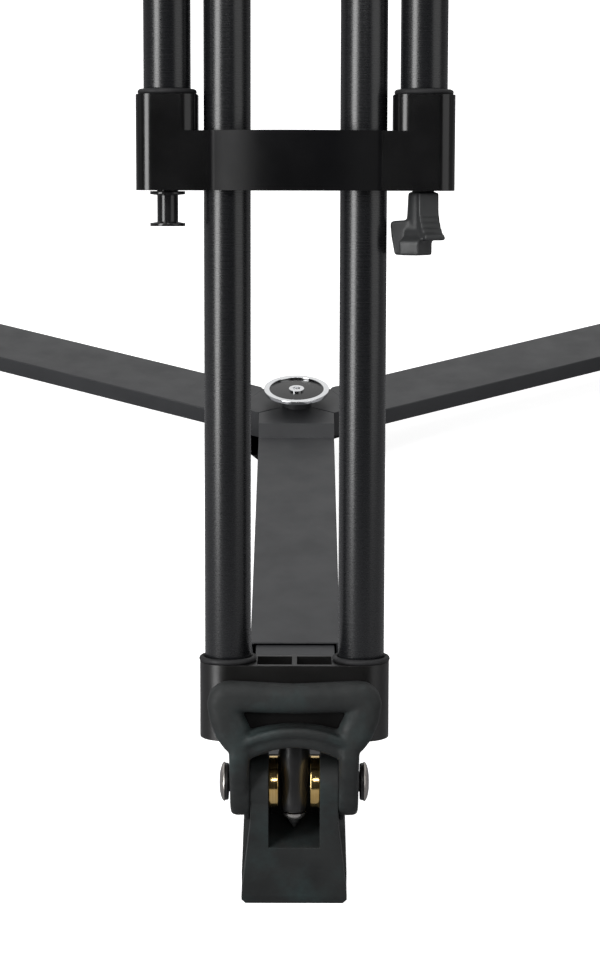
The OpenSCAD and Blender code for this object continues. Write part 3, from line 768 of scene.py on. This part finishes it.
def grip():
    """The pan bar's rubber grip: a run of ribs between two plain bands, with a rounded end."""
    bar = JOINTS["handle_angle"]["pos_m"]
    points = [Vector(v.co) for v in frame["nodes"]["bar_grip"].data.vertices]
    centre = sum(points, Vector()) / len(points)
    axis = Vector((0, centre.y - bar[1], centre.z - bar[2])).normalized()
    where = place((1, 0, 0), axis, (centre.x, bar[1], bar[2]))
    low, high = local_span("bar_grip", where)
    radius = high.x
    end = high.z
    bore = 8.1
    pitch = 4.0
    rows = [(bore, low.z), (radius - 1.2, low.z), (radius, low.z + 1.5), (radius, low.z + 7)]
    z = low.z + 8
    while z < end - 14:
        rows += [(radius - 1.1, z + 0.5), (radius - 1.1, z + 1.5)]
        rows += [(radius - 0.1, z + 2.1), (radius - 0.1, z + 3.5)]
        z += pitch
    rows += [(radius, end - 8), (radius, end - 3), (radius - 1, end - 1), (radius - 3, end), (0, end)]
    rows += [(0, end - 5.4), (bore, end - 5.4)]
    bm = bmesh.new()
    lathe(bm, rows, where)
    add_piece("bar_grip_ribbed", bm, NODE_BODY["bar_grip"], [GRIP], ["bar_grip"], 50)


def plate_pads():
    """Two ribbed rubber pads on top of the camera plate, on either side of the screw."""
    top = local_span("camera_plate", CENTRE)[1].z
    half = 19
    pitch = 9.0
    strip = [(-half, top - 0.3), (half, top - 0.3), (half, top + 0.8), (-half, top + 0.8)]
    bm = bmesh.new()
    for end in (-1, 1):
        for k in range(4):
            spot = Matrix.Translation((0, end * (18 + pitch * k), 0))
            prism(bm, CENTRE @ spot, strip, 7.4, 0.35)
    add_piece("plate_pads", bm, "plate", [GRIP], (), 40)


hub_cap()
bubble_level()
grip()
plate_pads()

# How far the edges of each remaining node are rounded, in millimetres.
EDGE_WIDTHS = {
    "hub": 0.5, "crown": 0.8, "hinge_pins": 0.4, "half_ball": 0.5, "bowl_knob": 0.8,
    "pan_body": 1.0, "pan_lock": 0.6, "tilt_body": 0.9, "tilt_lock": 0.6, "balance_dial": 0.4,
    "drag_knob": 0.4, "camera_plate": 0.6, "camera_screw": 0.25, "plate_lock": 0.6,
    "pan_bar": 0.4, "bar_knob": 0.6,
}
for node_name, edge_width in EDGE_WIDTHS.items():
    edged(node_name, edge_width)


# --- floor, light and camera ---------------------------------------------------

def floor():
    """A pale floor that the camera sees as almost white, and that reflects as a darker grey."""
    finish = Finish("pale_floor", Roughness=0.9, Specular_IOR_Level=0.1)
    finish.surface.inputs["Emission Color"].default_value = (1, 1, 1, 1)
    seen = finish.nodes.new("ShaderNodeLightPath").outputs["Is Camera Ray"]
    finish.feed("Emission Strength", finish.ramp(seen, 0.0, 0.75, 0.0, 1.0))
    pale = finish.colours(finish.noise(3), (0.88, 0.88, 0.88), (0.91, 0.91, 0.91))
    in_shade = finish.colours(finish.noise(3), (0.30, 0.30, 0.31), (0.33, 0.33, 0.34))
    finish.feed("Base Color", finish.mix(seen, in_shade, pale))
    mesh = bpy.data.meshes.new("floor")
    half = 30.0
    corners = [(-half, -half, 0), (half, -half, 0), (half, half, 0), (-half, half, 0)]
    mesh.from_pydata(corners, [], [(0, 1, 2, 3)])
    mesh.materials.append(finish.material)
    sheet = bpy.data.objects.new("floor", mesh)
    bpy.context.scene.collection.objects.link(sheet)


def soft_box(name, azimuth, distance, height, width, tall, radiance):
    """A soft box turned towards leg 1's foot. Azimuth 0 is in front of it, positive to its right."""
    target = Vector(JOINTS["shoe_level_1"]["pos_m"]) + Vector((0, 0, 0.15))
    turn = math.radians(azimuth)
    spot = target + Vector((math.sin(turn) * distance, -math.cos(turn) * distance, 0))
    spot.z = height
    light = bpy.data.lights.new(name, "AREA")
    light.shape = "RECTANGLE"
    light.size = width
    light.size_y = tall
    light.energy = radiance * math.pi * width * tall
    lamp = bpy.data.objects.new(name, light)
    lamp.location = spot
    lamp.rotation_euler = (target - spot).to_track_quat("-Z", "Y").to_euler()
    lamp.visible_camera = False
    bpy.context.scene.collection.objects.link(lamp)


# Name, azimuth in degrees, distance, height, width and height of the box in metres, radiance.
SOFT_BOXES = (
    ("left_strip", -52, 1.2, 0.75, 0.55, 1.7, 8.0),
    ("right_panel", 63, 1.3, 0.75, 1.1, 1.7, 1.0),
    ("overhead", 180, 0.3, 2.4, 2.4, 2.4, 1.0),
    ("front_fill", 4, 2.4, 2.1, 0.9, 0.4, 8.0),
)


def studio():
    """White surroundings as seen, and softer light that is brighter behind the object than before it."""
    world = bpy.data.worlds.new("studio")
    bpy.context.scene.world = world
    world.use_nodes = True
    nodes, links = world.node_tree.nodes, world.node_tree.links
    shown = nodes["Background"]
    shown.inputs["Color"].default_value = (1, 1, 1, 1)
    shown.inputs["Strength"].default_value = 1.05
    lit = nodes.new("ShaderNodeBackground")
    axes = nodes.new("ShaderNodeSeparateXYZ")
    fade = nodes.new("ShaderNodeMapRange")
    links.new(nodes.new("ShaderNodeTexCoord").outputs["Generated"], axes.inputs["Vector"])
    links.new(axes.outputs["Y"], fade.inputs["Value"])
    for socket, number in (("From Min", -0.2), ("From Max", 0.6), ("To Min", 0.03), ("To Max", 1.0)):
        fade.inputs[socket].default_value = number
    links.new(fade.outputs["Result"], lit.inputs["Strength"])
    choose = nodes.new("ShaderNodeMixShader")
    links.new(nodes.new("ShaderNodeLightPath").outputs["Is Camera Ray"], choose.inputs["Fac"])
    links.new(lit.outputs["Background"], choose.inputs[1])
    links.new(shown.outputs["Background"], choose.inputs[2])
    links.new(choose.outputs["Shader"], nodes["World Output"].inputs["Surface"])
    for box in SOFT_BOXES:
        soft_box(*box)


LENS = 85.54
SENSOR = 36.0
EYE = (0.002, -1.141, 0.562)
BELOW_LEVEL = math.radians(26.69)
ROLL = math.radians(0.13)


def camera():
    view = bpy.data.cameras.new("camera")
    view.lens = LENS
    view.sensor_width = SENSOR
    view.clip_start = 0.01
    view.clip_end = 100
    eye = bpy.data.objects.new("camera", view)
    turn = Matrix.Rotation(math.pi / 2 - BELOW_LEVEL, 4, "X") @ Matrix.Rotation(ROLL, 4, "Z")
    eye.matrix_world = Matrix.Translation(EYE) @ turn
    bpy.context.scene.collection.objects.link(eye)
    bpy.context.scene.camera = eye


floor()
studio()
camera()
bpy.context.scene.view_settings.view_transform = "Standard"

bpy.context.view_layer.update()
